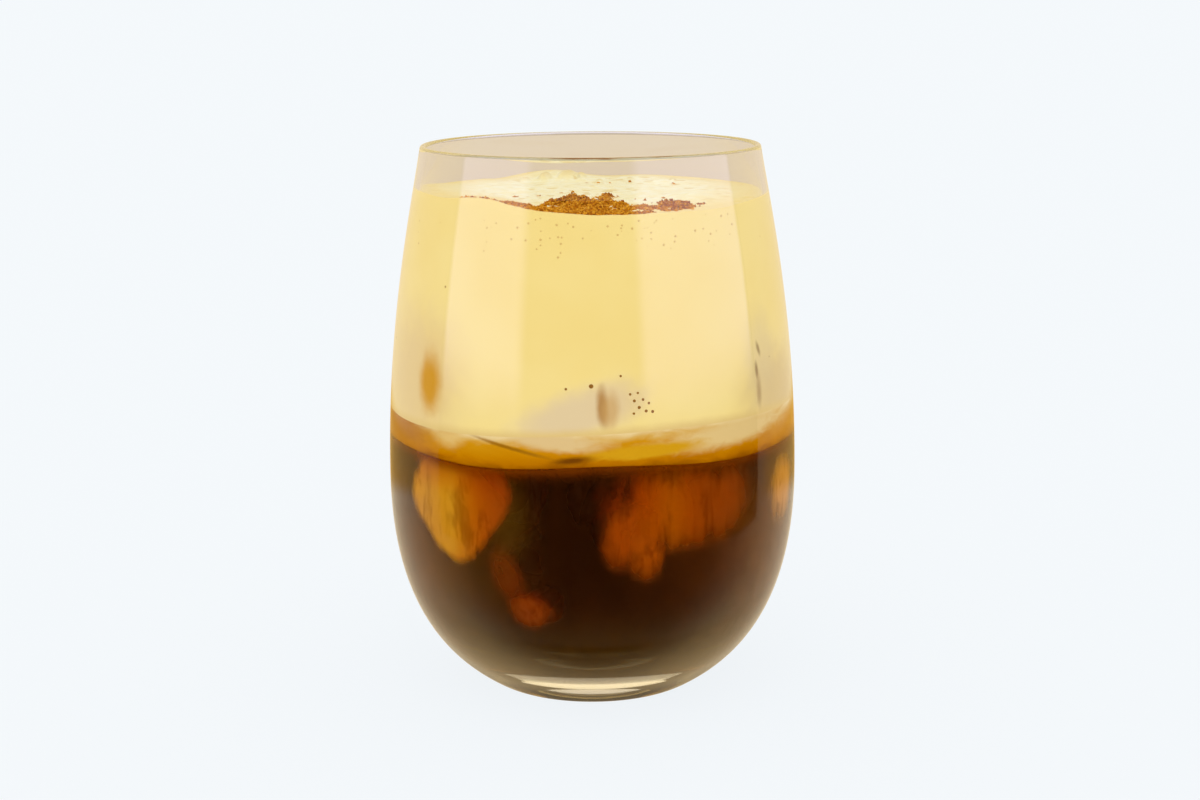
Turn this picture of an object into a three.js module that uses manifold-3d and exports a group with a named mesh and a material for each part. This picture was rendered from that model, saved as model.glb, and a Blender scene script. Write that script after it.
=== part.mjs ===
// Iced egg coffee in a stemless glass: dark coffee at the bottom, an amber layer where coffee and
// egg cream run together, the pale egg cream with its foamed top, and a dusting of cocoa on the foam.
// Millimetres, +Z up. The origin is the centre of the glass's foot, on the table.
import * as THREE from "three";
import { mergeVertices } from "three/addons/utils/BufferGeometryUtils.js";
import Module from "manifold-3d";

// Driving dimensions of the glass
const GLASS_HEIGHT = 121.7;
const BELLY_RADIUS = 46;
const BELLY_HEIGHT = 47.6;
const RIM_RADIUS = 37.7;
const RIM_LEAN = 0.154; // millimetres inward for each millimetre up, at the rim
const FOOT_RADIUS = 23.7;
const FOOT_RING_WIDTH = 5.2; // the flat ring that the glass stands on
const PUNT_DEPTH = 1.4; // hollow under the foot
const FLOOR_THICKNESS = 5.2;
const BELLY_WALL = 1.7;
const RIM_WALL = 1.3;

// How full the curves of the glass are: lengths of their handles
const FOOT_SWEEP = new THREE.Vector2(7.9, 4.7);
const BOWL_FULLNESS = 32.9;
const WALL_FULLNESS = 36.2;
const RIM_STRAIGHT = 10;
const FLOOR_SPREAD = 31.5;

// Levels of the drink above the table, and the room left between two pieces that touch
const COFFEE_LEVEL = 58;
const CREAM_LEVEL = 65.2;
const FOAM_LEVEL = 111.2;
const GAP = 0.3;
const FOAM_EDGE = 1.2; // radius of the foam's rounded edge at the glass

// Unevenness of each level: millimetres up or down round the glass
const COFFEE_WAVE = [
  { turns: 1, rise: 0.3, phase: 2.6 },
  { turns: 2, rise: 0.55, phase: 0.7 },
  { turns: 5, rise: 0.5, phase: 1.2 },
];
const CREAM_WAVE = [
  { turns: 1, rise: 1.4, phase: 0 },
  { turns: 3, rise: 0.45, phase: 0.9 },
];
const FOAM_MOUNDS = [
  { x: -38, y: 3, radius: 11, height: 1.2 },
  { x: -34, y: -14, radius: 12, height: 1.2 },
  { x: -22, y: -30, radius: 9, height: 1.7 },
  { x: 6, y: -36, radius: 19, height: -1.2 },
  { x: 26, y: -26, radius: 11, height: -0.7 },
  { x: -10, y: 32, radius: 9, height: 1.2 },
  { x: 3, y: 36, radius: 6, height: -0.5 },
  { x: -23, y: 28, radius: 7, height: -0.6 },
  { x: 37, y: 6, radius: 10, height: 0.4 },
  { x: -5, y: 2, radius: 10, height: 0.5 },
  { x: 14, y: 12, radius: 9, height: 0.4 },
];

// The dusting of cocoa, which lies on the front half of the foam
const COCOA_CENTRE = new THREE.Vector2(3, -18);
const COCOA_REACH = new THREE.Vector2(21, 14);
const COCOA_CLUMPS = 52;
const COCOA_SMALLEST = 0.9;
const COCOA_LARGEST = 2.6;
const COCOA_FLATNESS = 0.42;
const COCOA_SINK = 0.6; // share of a clump that lies below the foam's surface
const COCOA_SEED = 7;

// Fineness
const SIDES = 56;
const BOWL_STEPS = 10;
const WALL_STEPS = 7;
const LIP_STEPS = 5;
const LAYER_STEPS = 6;
const TOP_RINGS = 5;
const FOAM_RINGS = 11;

const wasm = await Module();
wasm.setup();

// The glass's outline
const belly = new THREE.Vector2(BELLY_RADIUS, BELLY_HEIGHT);
const lipRadius = RIM_WALL / 2;
const lipCentre = new THREE.Vector2(RIM_RADIUS - lipRadius, GLASS_HEIGHT - lipRadius);
const lipTurn = Math.atan(RIM_LEAN);

function wallCurve(bellyRadius, lipAngle) {
  const lipEdge = new THREE.Vector2(Math.cos(lipAngle), Math.sin(lipAngle)).multiplyScalar(lipRadius);
  const top = lipCentre.clone().add(lipEdge);
  return new THREE.CubicBezierCurve(
    new THREE.Vector2(bellyRadius, BELLY_HEIGHT),
    new THREE.Vector2(bellyRadius, BELLY_HEIGHT + WALL_FULLNESS),
    new THREE.Vector2(top.x + RIM_LEAN * RIM_STRAIGHT, top.y - RIM_STRAIGHT),
    top,
  );
}

const outsideBowl = new THREE.CubicBezierCurve(
  new THREE.Vector2(FOOT_RADIUS, 0),
  new THREE.Vector2(FOOT_RADIUS, 0).add(FOOT_SWEEP),
  new THREE.Vector2(BELLY_RADIUS, BELLY_HEIGHT - BOWL_FULLNESS),
  belly,
);
const outsideWall = wallCurve(BELLY_RADIUS, lipTurn);
const insideWall = wallCurve(BELLY_RADIUS - BELLY_WALL, lipTurn + Math.PI);
const insideBowl = new THREE.CubicBezierCurve(
  new THREE.Vector2(0, FLOOR_THICKNESS),
  new THREE.Vector2(FLOOR_SPREAD, FLOOR_THICKNESS),
  new THREE.Vector2(BELLY_RADIUS - BELLY_WALL, BELLY_HEIGHT - BOWL_FULLNESS),
  new THREE.Vector2(BELLY_RADIUS - BELLY_WALL, BELLY_HEIGHT),
);

// Turns a profile of (radius, height) points about the upright axis.
function turned(profile) {
  return new THREE.LatheGeometry(profile, SIDES).rotateX(Math.PI / 2);
}

function glassGeometry() {
  const ringInner = FOOT_RADIUS - FOOT_RING_WIDTH;
  const punt = new THREE.QuadraticBezierCurve(
    new THREE.Vector2(0, PUNT_DEPTH),
    new THREE.Vector2(ringInner * 0.8, PUNT_DEPTH),
    new THREE.Vector2(ringInner, 0),
  );
  const lip = new THREE.EllipseCurve(
    lipCentre.x, lipCentre.y, lipRadius, lipRadius, lipTurn, lipTurn + Math.PI, false,
  );
  const profile = [
    ...punt.getPoints(LIP_STEPS),
    ...outsideBowl.getPoints(BOWL_STEPS),
    ...outsideWall.getPoints(WALL_STEPS).slice(1),
    ...lip.getPoints(LIP_STEPS).slice(1, -1),
    ...insideWall.getPoints(WALL_STEPS).reverse(),
    ...insideBowl.getPoints(BOWL_STEPS).reverse().slice(1),
  ];
  return turned(profile);
}

// Radius of the inside of the glass at a height, less the gap that the drink keeps.
const insideLine = [...insideBowl.getPoints(120), ...insideWall.getPoints(120).slice(1)];

function fillRadius(height) {
  const above = insideLine.findIndex((point) => point.y >= height);
  const [low, high] = [insideLine[Math.max(above - 1, 0)], insideLine[above]];
  const share = above > 0 ? (height - low.y) / (high.y - low.y) : 0;
  return THREE.MathUtils.lerp(low.x, high.x, share) - GAP;
}

// How far a level stands up or down at a place on it. Waves die out towards the middle.
function waveRise(waves, x, y) {
  const angle = Math.atan2(x, -y);
  const reach = Math.min(Math.hypot(x, y) / BELLY_RADIUS, 1);
  const rise = waves.reduce((sum, w) => sum + w.rise * Math.sin(w.turns * angle + w.phase), 0);
  return rise * reach;
}

function foamRise(x, y) {
  return FOAM_MOUNDS.reduce((sum, m) => {
    const away = Math.hypot(x - m.x, y - m.y) / m.radius;
    return sum + m.height * Math.exp(-away * away);
  }, 0);
}

const coffeeRise = (x, y) => waveRise(COFFEE_WAVE, x, y);
const creamRise = (x, y) => waveRise(CREAM_WAVE, x, y);

// Moves each point of a turned layer up or down with the levels below and above it, and keeps its
// distance from the wall.
function rippled(geometry, low, lowRise, high, highRise) {
  const position = geometry.getAttribute("position");
  for (let i = 0; i < position.count; i++) {
    const [x, y, z] = [position.getX(i), position.getY(i), position.getZ(i)];
    const share = THREE.MathUtils.clamp((z - low) / (high - low), 0, 1);
    const lifted = z + THREE.MathUtils.lerp(lowRise(x, y), highRise(x, y), share);
    const squeeze = z > low - GAP ? fillRadius(lifted) / fillRadius(z) : 1;
    position.setXYZ(i, x * squeeze, y * squeeze, lifted);
  }
  return geometry;
}

// Rings of a level surface, from one radius to another.
function levelRings(height, fromRadius, toRadius, count) {
  return Array.from({ length: count }, (_, i) => {
    return new THREE.Vector2(THREE.MathUtils.lerp(fromRadius, toRadius, (i + 1) / count), height);
  });
}

// Points up the inside wall between two heights, both ends included.
function sideRings(low, high, count) {
  return Array.from({ length: count + 1 }, (_, i) => {
    const height = THREE.MathUtils.lerp(low, high, i / count);
    return new THREE.Vector2(fillRadius(height), height);
  });
}

function coffeeGeometry() {
  const top = COFFEE_LEVEL - GAP / 2;
  const bowl = insideBowl.getPoints(BOWL_STEPS).map((point, i) => {
    const along = insideBowl.getTangent(i / BOWL_STEPS);
    return new THREE.Vector2(Math.max(point.x - along.y * GAP, 0), point.y + along.x * GAP);
  });
  bowl[0].x = 0;
  const profile = [
    ...bowl.slice(0, -1),
    ...sideRings(BELLY_HEIGHT, top, 2),
    ...levelRings(top, fillRadius(top), 0, TOP_RINGS),
  ];
  const still = BELLY_HEIGHT * 0.6; // below this the coffee follows the glass alone
  return rippled(turned(profile), still, () => 0, top, coffeeRise);
}

function amberGeometry() {
  const low = COFFEE_LEVEL + GAP / 2;
  const high = CREAM_LEVEL - GAP / 2;
  const profile = [
    new THREE.Vector2(0, low),
    ...levelRings(low, 0, fillRadius(low), TOP_RINGS).slice(0, -1),
    ...sideRings(low, high, 2),
    ...levelRings(high, fillRadius(high), 0, TOP_RINGS),
  ];
  return rippled(turned(profile), low, coffeeRise, high, creamRise);
}

function creamGeometry() {
  const low = CREAM_LEVEL + GAP / 2;
  const shoulder = FOAM_LEVEL - FOAM_EDGE;
  const flat = fillRadius(FOAM_LEVEL) - FOAM_EDGE;
  const profile = [
    new THREE.Vector2(0, low),
    ...levelRings(low, 0, fillRadius(low), TOP_RINGS).slice(0, -1),
    ...sideRings(low, shoulder, LAYER_STEPS),
    new THREE.Vector2(flat + FOAM_EDGE * Math.SQRT1_2, shoulder + FOAM_EDGE * Math.SQRT1_2),
    new THREE.Vector2(flat, FOAM_LEVEL),
    ...levelRings(FOAM_LEVEL, flat, 0, FOAM_RINGS),
  ];
  return rippled(turned(profile), low, creamRise, FOAM_LEVEL, foamRise);
}

// A geometry as a solid that can be joined to another, and back.
function solidOf(geometry) {
  const bare = new THREE.BufferGeometry().setAttribute("position", geometry.getAttribute("position"));
  const merged = mergeVertices(geometry.index ? bare.setIndex(geometry.index) : bare, 1e-3);
  return new wasm.Manifold(
    new wasm.Mesh({
      numProp: 3,
      vertProperties: merged.getAttribute("position").array,
      triVerts: new Uint32Array(merged.index.array),
    }),
  );
}

function geometryOf(solid) {
  const mesh = solid.getMesh();
  return new THREE.BufferGeometry()
    .setAttribute("position", new THREE.BufferAttribute(mesh.vertProperties, 3))
    .setIndex(new THREE.BufferAttribute(mesh.triVerts, 1));
}

// Numbers from 0 to 1 that come out alike on each run.
function seededDraw(seed) {
  let state = seed;
  return () => {
    state = (state * 1664525 + 1013904223) % 4294967296;
    return state / 4294967296;
  };
}

// One flattened, turned crumb of cocoa, partly sunk in the foam.
function cocoaClump(draw) {
  const angle = draw() * 2 * Math.PI;
  const reach = Math.sqrt(draw());
  const x = COCOA_CENTRE.x + COCOA_REACH.x * reach * Math.cos(angle);
  const y = COCOA_CENTRE.y + COCOA_REACH.y * reach * Math.sin(angle);
  const size = THREE.MathUtils.lerp(COCOA_LARGEST, COCOA_SMALLEST, reach) * (0.7 + 0.6 * draw());
  const middle = size * COCOA_FLATNESS * (1 - 2 * COCOA_SINK); // above the foam
  return new THREE.IcosahedronGeometry(size, 0)
    .rotateX(draw() * Math.PI)
    .scale(1 + 0.5 * draw(), 1, COCOA_FLATNESS)
    .rotateZ(draw() * Math.PI)
    .translate(x, y, FOAM_LEVEL + foamRise(x, y) + middle);
}

function dustedCreamGeometry() {
  const draw = seededDraw(COCOA_SEED);
  let solid = solidOf(creamGeometry());
  for (let i = 0; i < COCOA_CLUMPS; i++) solid = solid.add(solidOf(cocoaClump(draw)));
  return geometryOf(solid);
}

// Finishes
const clearGlass = new THREE.MeshStandardMaterial({
  color: 0xe9e2d6, roughness: 0.02, metalness: 0, transparent: true, opacity: 0.3,
});
const blackCoffee = new THREE.MeshStandardMaterial({ color: 0x2d1402, roughness: 0.08, metalness: 0 });
const amberMix = new THREE.MeshStandardMaterial({ color: 0xc88312, roughness: 0.25, metalness: 0 });
const eggCream = new THREE.MeshStandardMaterial({ color: 0xf8dd92, roughness: 0.45, metalness: 0 });

function piece(name, geometry, material) {
  const mesh = new THREE.Mesh(geometry, material);
  mesh.name = name;
  return mesh;
}

const drink = new THREE.Group();
drink.add(
  piece("coffee", coffeeGeometry(), blackCoffee),
  piece("amber_layer", amberGeometry(), amberMix),
  piece("egg_cream", dustedCreamGeometry(), eggCream),
);

const eggCoffee = new THREE.Group();
eggCoffee.add(piece("glass", glassGeometry(), clearGlass), drink);

export default eggCoffee;
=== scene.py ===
# %% [markdown]
# # An iced egg coffee in its stemless glass
#
# The drink stands in layers: dark coffee with ice at the bottom, an amber band where coffee and cream run
# together, pale whipped egg cream, and cocoa dusted on the foam. The solids of the part are loaded first,
# as the frame that every piece is fitted to.

# %% Load the solids
import math
import random

import bpy
import numpy as np
from mathutils import Matrix


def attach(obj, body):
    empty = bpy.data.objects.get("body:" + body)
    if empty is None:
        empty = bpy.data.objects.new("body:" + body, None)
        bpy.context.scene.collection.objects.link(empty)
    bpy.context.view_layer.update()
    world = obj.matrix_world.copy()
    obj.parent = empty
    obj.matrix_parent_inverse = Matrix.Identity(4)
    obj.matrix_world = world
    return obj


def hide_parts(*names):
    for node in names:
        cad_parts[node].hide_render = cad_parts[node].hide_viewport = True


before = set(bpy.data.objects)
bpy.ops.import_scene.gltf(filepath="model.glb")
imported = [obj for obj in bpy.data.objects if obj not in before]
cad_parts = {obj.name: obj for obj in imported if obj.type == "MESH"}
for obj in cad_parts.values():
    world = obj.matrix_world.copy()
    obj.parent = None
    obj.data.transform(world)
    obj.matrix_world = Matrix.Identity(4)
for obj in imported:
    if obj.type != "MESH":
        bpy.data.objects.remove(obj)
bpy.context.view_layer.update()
bpy.ops.object.select_all(action="DESELECT")
print("solids:", ", ".join(sorted(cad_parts)))

# %% [markdown]
# ## Camera
#
# The glass was photographed from about arm's length, a little above the rim. The lens is a short
# telephoto, which keeps the sides of the glass from flaring. The camera stands slightly to the right and
# is rolled by a third of a degree, as the picture is.

# %% Place the camera
MM = 0.001
CAMERA_PLACE = (1.8, -441.8, 156.15)
CAMERA_TILT = 11.82
CAMERA_ROLL = -0.33
FOCAL_PIXELS = 1986.7
PICTURE_WIDTH = 1200

lens = bpy.data.cameras.new("camera")
lens.sensor_width = 36.0
lens.lens = lens.sensor_width * FOCAL_PIXELS / PICTURE_WIDTH
camera = bpy.data.objects.new("camera", lens)
camera.location = [c * MM for c in CAMERA_PLACE]
aim = Matrix.Rotation(math.radians(90.0 - CAMERA_TILT), 3, "X")
roll = Matrix.Rotation(math.radians(CAMERA_ROLL), 3, "Z")
camera.rotation_euler = (aim @ roll).to_euler()
bpy.context.collection.objects.link(camera)
bpy.context.scene.camera = camera
print("lens", round(lens.lens, 1), "mm")

# %% [markdown]
# ## Shader arithmetic
#
# The finishes are worked out from places on the piece: how far round the glass, how high up. A small
# class wraps a node's socket, so that a finish reads as arithmetic and each sign adds the Math node that
# it stands for.

# %% A wire that can be calculated with
class Wire:
    """One output socket in a material. Arithmetic on it adds nodes and gives the wire that leaves them."""

    def __init__(self, tree, socket=None):
        self.tree = tree
        self.socket = socket

    def node(self, kind, settings, values, output=0):
        made = self.tree.nodes.new(kind)
        for name, value in settings.items():
            if name == "stops":
                spread_stops(made.color_ramp, value)
            else:
                setattr(made, name, value)
        for name, value in values.items():
            if isinstance(value, Wire):
                self.tree.links.new(value.socket, made.inputs[name])
            else:
                made.inputs[name].default_value = value
        return Wire(self.tree, made.outputs[output])

    def math(self, operation, *values):
        return self.node("ShaderNodeMath", {"operation": operation}, dict(enumerate(values)))

    def __add__(self, other):
        return self.math("ADD", self, other)

    def __sub__(self, other):
        return self.math("SUBTRACT", self, other)

    def __rsub__(self, other):
        return self.math("SUBTRACT", other, self)

    def __mul__(self, other):
        return self.math("MULTIPLY", self, other)

    def __truediv__(self, other):
        return self.math("DIVIDE", self, other)

    __radd__ = __add__
    __rmul__ = __mul__

    def larger(self, other):
        return self.math("MAXIMUM", self, other)

    def root(self):
        return self.math("SQRT", self)

    def size(self):
        return self.math("ABSOLUTE", self)

    def smooth(self, low, high):
        """0 below low, 1 above high, with a soft passage between."""
        limits = {"Value": self, "From Min": low, "From Max": high}
        return self.node("ShaderNodeMapRange", {"interpolation_type": "SMOOTHSTEP"}, limits)

    def blend(self, first, second):
        """The first colour where this wire is 0, the second where it is 1."""
        return self.node("ShaderNodeMix", {"data_type": "RGBA"}, {0: self, 6: first, 7: second}, output=2)


def spread_stops(ramp, stops):
    while len(ramp.elements) < len(stops):
        ramp.elements.new(1.0)
    for element, (place, tint) in zip(ramp.elements, stops):
        element.position = place
        element.color = tint


def tint(red, green, blue):
    """A colour as a screen gives it, 0 to 255, made linear for the shader."""
    parts = [c / 255.0 for c in (red, green, blue)]
    return tuple(c / 12.92 if c <= 0.04045 else ((c + 0.055) / 1.055) ** 2.4 for c in parts) + (1.0,)


print("white is", tint(255, 255, 255))

# %% A new finish
def new_finish(name):
    """A material with a Principled shader: gives the material, its shader, and a wire to start from."""
    material = bpy.data.materials.new(name)
    material.use_nodes = True
    tree = material.node_tree
    shader = tree.nodes["Principled BSDF"]
    return material, shader, Wire(tree)


def feed(wire, shader, socket):
    wire.tree.links.new(wire.socket, shader.inputs[socket])


def set_on(shader, **numbers):
    """Plain numbers and colours on the shader's own sockets; words in a name are split by underscores."""
    for name, value in numbers.items():
        shader.inputs[name.replace("_", " ")].default_value = value


def place_on_piece(start):
    """Wires for left-right, back-front and up on a piece, in millimetres."""
    coords = start.node("ShaderNodeTexCoord", {}, {}, output=3)
    parts = [coords.node("ShaderNodeSeparateXYZ", {}, {0: coords}, output=i) for i in range(3)]
    return coords, *[part * 1000.0 for part in parts]


print("finish helpers ready")

# %% [markdown]
# ## Floor and light
#
# The picture has an even, very pale blue ground. A wide floor in that colour under an even sky and a very
# soft sun gives the same, with only a faint shadow under the glass. Through the empty part of the glass
# and in its reflections a warm beige room shows instead, dark on the camera's side, so the sky has that
# second face for rays that the glass has bent or mirrored, and the floor lets them by. Only near the foot
# does the floor show in the glass, as a pale glow: painted light in place of the shadow under the glass.

# %% Floor
FLOOR_SIZE = 60.0
FLOOR_DROP = 0.0002
FLOOR_COLOUR = (0.93, 0.955, 0.975, 1.0)
FLOOR_SEEN = (0.905, 0.940, 0.966, 1.0)
FLOOR_GLOW = 0.92
FOOT_GLOW_PAINTED = (1.08, 1.03, 1.12, 1.0)
FLOOR_NEAR = (0.25, 0.4)


def ray(start, kind):
    return start.node("ShaderNodeLightPath", {}, {}, output=kind)


def shader_mix(factor, first, second):
    return factor.node("ShaderNodeMixShader", {}, {0: factor, 1: first, 2: second})


def set_surface(wire):
    wire.tree.links.new(wire.socket, wire.tree.nodes["Material Output"].inputs["Surface"])


bpy.ops.mesh.primitive_plane_add(size=FLOOR_SIZE, location=(0.0, 0.0, -FLOOR_DROP))
floor = bpy.context.object
floor.name = "floor"
floor_finish, floor_shader, start = new_finish("pale floor")
set_on(floor_shader, Base_Color=FLOOR_COLOUR, Roughness=0.9, Specular_IOR_Level=0.0)
lit = Wire(start.tree, floor_shader.outputs[0])
even = start.node("ShaderNodeEmission", {}, {"Color": FLOOR_SEEN})
ground = shader_mix(ray(start, "Is Camera Ray") * FLOOR_GLOW, lit, even)
bent = ray(start, "Is Glossy Ray").larger(ray(start, "Is Transmission Ray"))
coords, x, y, z = place_on_piece(start)
away = (x * x + y * y).root() / 1000.0
# painted light: near the foot, rays bent by the glass see the floor as a pale glow instead of the shadow
# under the glass
near = ray(start, "Is Transmission Ray") * (1.0 - away.smooth(*FLOOR_NEAR))
foot_glow = start.node("ShaderNodeEmission", {}, {"Color": FOOT_GLOW_PAINTED})
clear = start.node("ShaderNodeBsdfTransparent", {}, {})
set_surface(shader_mix(bent, ground, shader_mix(near, clear, foot_glow)))
floor_finish.cycles.emission_sampling = "NONE"
floor.data.materials.append(floor_finish)
print("floor", FLOOR_SIZE, "m")

# %% Sky and sun
SKY = 0.90
SKY_COLOUR = (0.985 * SKY, 0.992 * SKY, SKY, 1.0)
SUN = 0.5
SUN_LEAN = 35.0
SUN_TURN = -12.0
SUN_WIDTH = 60.0
# the room in reflections: the dark front, the wall at the back, the table and its far edge, the shade
# on the table straight behind the glass, and the ceiling
ROOM_FRONT = (0.02, 0.016, 0.012, 1.0)
ROOM_BACK = (0.92, 0.76, 0.53, 1.0)
ROOM_TABLE = (1.5, 1.1, 0.55, 1.0)
ROOM_EDGE = (0.75, 0.45, 0.12, 1.0)
EDGE_LOW = -0.26
EDGE_HIGH = -0.17
EDGE_SOFT = 0.025
ROOM_SHADE = (0.35, 0.27, 0.16, 1.0)
ROOM_CEILING = (0.8, 0.75, 0.65, 1.0)
# what shows through the empty glass
THROUGH_WALL = (0.76, 0.64, 0.49, 1.0)

sky = bpy.data.worlds.new("studio")
sky.use_nodes = True
air = Wire(sky.node_tree)
way = air.node("ShaderNodeTexCoord", {}, {}, output="Generated")
aside, back, up = [air.node("ShaderNodeSeparateXYZ", {}, {0: way}, output=name) for name in "XYZ"]
down = 0.0 - up
ahead = 1.0 - aside.size().smooth(0.1, 0.3)
mirrored = back.smooth(-0.35, 0.9).blend(ROOM_FRONT, ROOM_BACK)
mirrored = (down.smooth(0.35, 0.95) * back.smooth(-0.4, 0.35)).blend(mirrored, ROOM_TABLE)
mirrored = (down.smooth(0.3, 0.6) * back.smooth(0.4, 0.7) * ahead).blend(mirrored, ROOM_SHADE)
table_edge = up.smooth(EDGE_LOW, EDGE_LOW + EDGE_SOFT) * up.smooth(EDGE_HIGH, EDGE_HIGH - EDGE_SOFT)
mirrored = (table_edge * back.smooth(0.2, 0.5)).blend(mirrored, ROOM_EDGE)
mirrored = up.smooth(0.5, 0.95).blend(mirrored, ROOM_CEILING)
room = ray(air, "Is Glossy Ray").blend(SKY_COLOUR, mirrored)
room = ray(air, "Is Transmission Ray").blend(room, THROUGH_WALL)
seen = air.node("ShaderNodeBackground", {}, {"Color": room})
sky.node_tree.links.new(seen.socket, sky.node_tree.nodes["World Output"].inputs["Surface"])
bpy.context.scene.world = sky

sun_light = bpy.data.lights.new("sun", "SUN")
sun_light.energy = SUN
sun_light.angle = math.radians(SUN_WIDTH)
sun = bpy.data.objects.new("sun", sun_light)
sun.rotation_euler = (math.radians(SUN_LEAN), 0.0, math.radians(SUN_TURN))
sun.visible_glossy = False
bpy.context.collection.objects.link(sun)
print("sky", SKY, "sun", SUN)

# %% [markdown]
# Pale upright bands run down both sides of the cream: the white cards of a studio, mirrored in the glass.
# Two tall cards stand left and right of the camera, and only reflections show them. They fade out
# downwards, so that the coffee stays dark. Light that goes round inside the lip turns many times, so the
# rays get many bounces.

# %% Cards that the glass mirrors
CARD_AWAY = 0.75
CARD_HEIGHT = 1.2
CARD_MIDDLE = 0.35
CARD_COLOUR = (0.92, 0.9, 1.4, 1.0)
CARD_GLOW = 1.8
CARD_FADE = (-0.03, 0.09)
CARD_SOFT = 9.0
BOUNCES = 32


def card(name, turn, first, last):
    """A tall white card between two angles from the camera's side, on the left if turn is -1."""
    wide = 2 * CARD_AWAY * math.tan(math.radians((last - first) / 2))
    bpy.ops.object.select_all(action="DESELECT")
    bpy.ops.mesh.primitive_plane_add(size=1.0, location=(0.0, 0.0, 0.0))
    sheet = bpy.context.object
    sheet.name = name
    bpy.ops.object.mode_set(mode="EDIT")
    bpy.ops.transform.resize(value=(wide, CARD_HEIGHT, 1.0))
    bpy.ops.object.mode_set(mode="OBJECT")
    angle = turn * math.radians((first + last) / 2)
    place = Matrix.Translation((CARD_AWAY * math.sin(angle), -CARD_AWAY * math.cos(angle), CARD_MIDDLE))
    sheet.matrix_world = place @ Matrix.Rotation(angle, 4, "Z") @ Matrix.Rotation(math.pi / 2, 4, "X")
    bpy.ops.object.transform_apply(location=True, rotation=True, scale=True)
    sheet.visible_camera = sheet.visible_diffuse = sheet.visible_transmission = sheet.visible_shadow = False
    finish, shader, start = new_finish(name)
    coords, x, y, z = place_on_piece(start)
    round_angle = x.math("ARCTAN2", x * turn, 0.0 - y) * math.degrees(1.0)
    glow = (z / 1000.0).smooth(*CARD_FADE) * round_angle.smooth(first, first + CARD_SOFT)
    glow = glow * round_angle.smooth(last, last - CARD_SOFT / 2)
    feed(glow.blend((0, 0, 0, 1), CARD_COLOUR), shader, "Emission Color")
    set_on(shader, Base_Color=(0, 0, 0, 1), Specular_IOR_Level=0.0, Emission_Strength=CARD_GLOW)
    sheet.data.materials.append(finish)
    return sheet


cards = [card("card_left", -1, 35.0, 92.0), card("card_right", 1, 24.0, 103.0)]

look = bpy.context.scene.view_settings
look.view_transform = "Standard"
look.look = "None"
bounces = bpy.context.scene.cycles
bounces.max_bounces = bounces.glossy_bounces = BOUNCES
bounces.transmission_bounces = bounces.transparent_max_bounces = BOUNCES
print("cards:", ", ".join(sheet.name for sheet in cards))

# %% [markdown]
# ## The glass
#
# A stemless glass is blown and turned, so one outline spun about its axis is the whole of it: the hollow
# under the foot, the ring it stands on, the full bowl, the wall leaning in to the rim, the rounded lip,
# and back down the inside to the thick floor. A point is extruded along that outline, as with a pencil,
# and spun.

# %% Sizes of the glass, as in the solids
GLASS_HEIGHT = 121.7
BELLY_RADIUS = 46.0
BELLY_HEIGHT = 47.6
RIM_RADIUS = 37.7
RIM_LEAN = 0.154
RIM_STRAIGHT = 10.0
RIM_WALL = 1.3
BELLY_WALL = 1.7
FOOT_RADIUS = 23.7
FOOT_RING_WIDTH = 5.2
FOOT_SWEEP = (7.9, 4.7)
PUNT_DEPTH = 1.4
FLOOR_THICKNESS = 5.2
FLOOR_SPREAD = 31.5
BOWL_FULLNESS = 32.9
WALL_FULLNESS = 36.2


def curve(start, first, second, end, count):
    """Points along a cubic curve with two handles, both ends included."""
    t = np.linspace(0.0, 1.0, count + 1)[:, None]
    a, b, c, d = (np.array(p, float) for p in (start, first, second, end))
    return (1 - t) ** 3 * a + 3 * (1 - t) ** 2 * t * b + 3 * (1 - t) * t**2 * c + t**3 * d


lip_radius = RIM_WALL / 2
lip_turn = math.atan(RIM_LEAN)
lip_centre = np.array([RIM_RADIUS - lip_radius, GLASS_HEIGHT - lip_radius])


def lip_point(angle):
    return lip_centre + lip_radius * np.array([math.cos(angle), math.sin(angle)])


def wall_curve(belly, top, count):
    below_top = (top[0] + RIM_LEAN * RIM_STRAIGHT, top[1] - RIM_STRAIGHT)
    return curve((belly, BELLY_HEIGHT), (belly, BELLY_HEIGHT + WALL_FULLNESS), below_top, top, count)


inner_belly = BELLY_RADIUS - BELLY_WALL
inside_bowl = curve(
    (0, FLOOR_THICKNESS),
    (FLOOR_SPREAD, FLOOR_THICKNESS),
    (inner_belly, BELLY_HEIGHT - BOWL_FULLNESS),
    (inner_belly, BELLY_HEIGHT),
    48,
)
inside_wall = wall_curve(inner_belly, lip_point(lip_turn + math.pi), 40)
inside_line = np.vstack([inside_bowl, inside_wall[1:]])
print("room inside, mm:", inside_line[0].round(1), "to", inside_line[-1].round(1))

# %% Spin an outline
SPIN_STEPS = 160
SMOOTH_BELOW = 35.0


def turned(name, outline, steps=SPIN_STEPS):
    """Extrudes a point along an outline of radius and height in millimetres, and spins the line round."""
    bpy.ops.object.select_all(action="DESELECT")
    bpy.ops.mesh.primitive_plane_add(size=MM, location=(0.0, 0.0, 0.0))
    piece = bpy.context.object
    piece.name = name
    bpy.ops.object.mode_set(mode="EDIT")
    bpy.ops.mesh.merge(type="CENTER")
    last = np.zeros(2)
    for i, point in enumerate(np.array(outline, float) * MM):
        step = (point[0] - last[0], 0.0, point[1] - last[1])
        if i == 0:
            bpy.ops.transform.translate(value=step)
        else:
            bpy.ops.mesh.extrude_region_move(TRANSFORM_OT_translate={"value": step})
        last = point
    bpy.ops.mesh.select_all(action="SELECT")
    bpy.ops.mesh.spin(steps=steps, angle=2 * math.pi, center=(0.0, 0.0, 0.0), axis=(0.0, 0.0, 1.0))
    bpy.ops.mesh.select_all(action="SELECT")
    bpy.ops.mesh.remove_doubles(threshold=1e-6)
    bpy.ops.mesh.normals_make_consistent(inside=False)
    bpy.ops.object.mode_set(mode="OBJECT")
    bpy.ops.object.shade_smooth_by_angle(angle=math.radians(SMOOTH_BELOW))
    return piece


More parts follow.
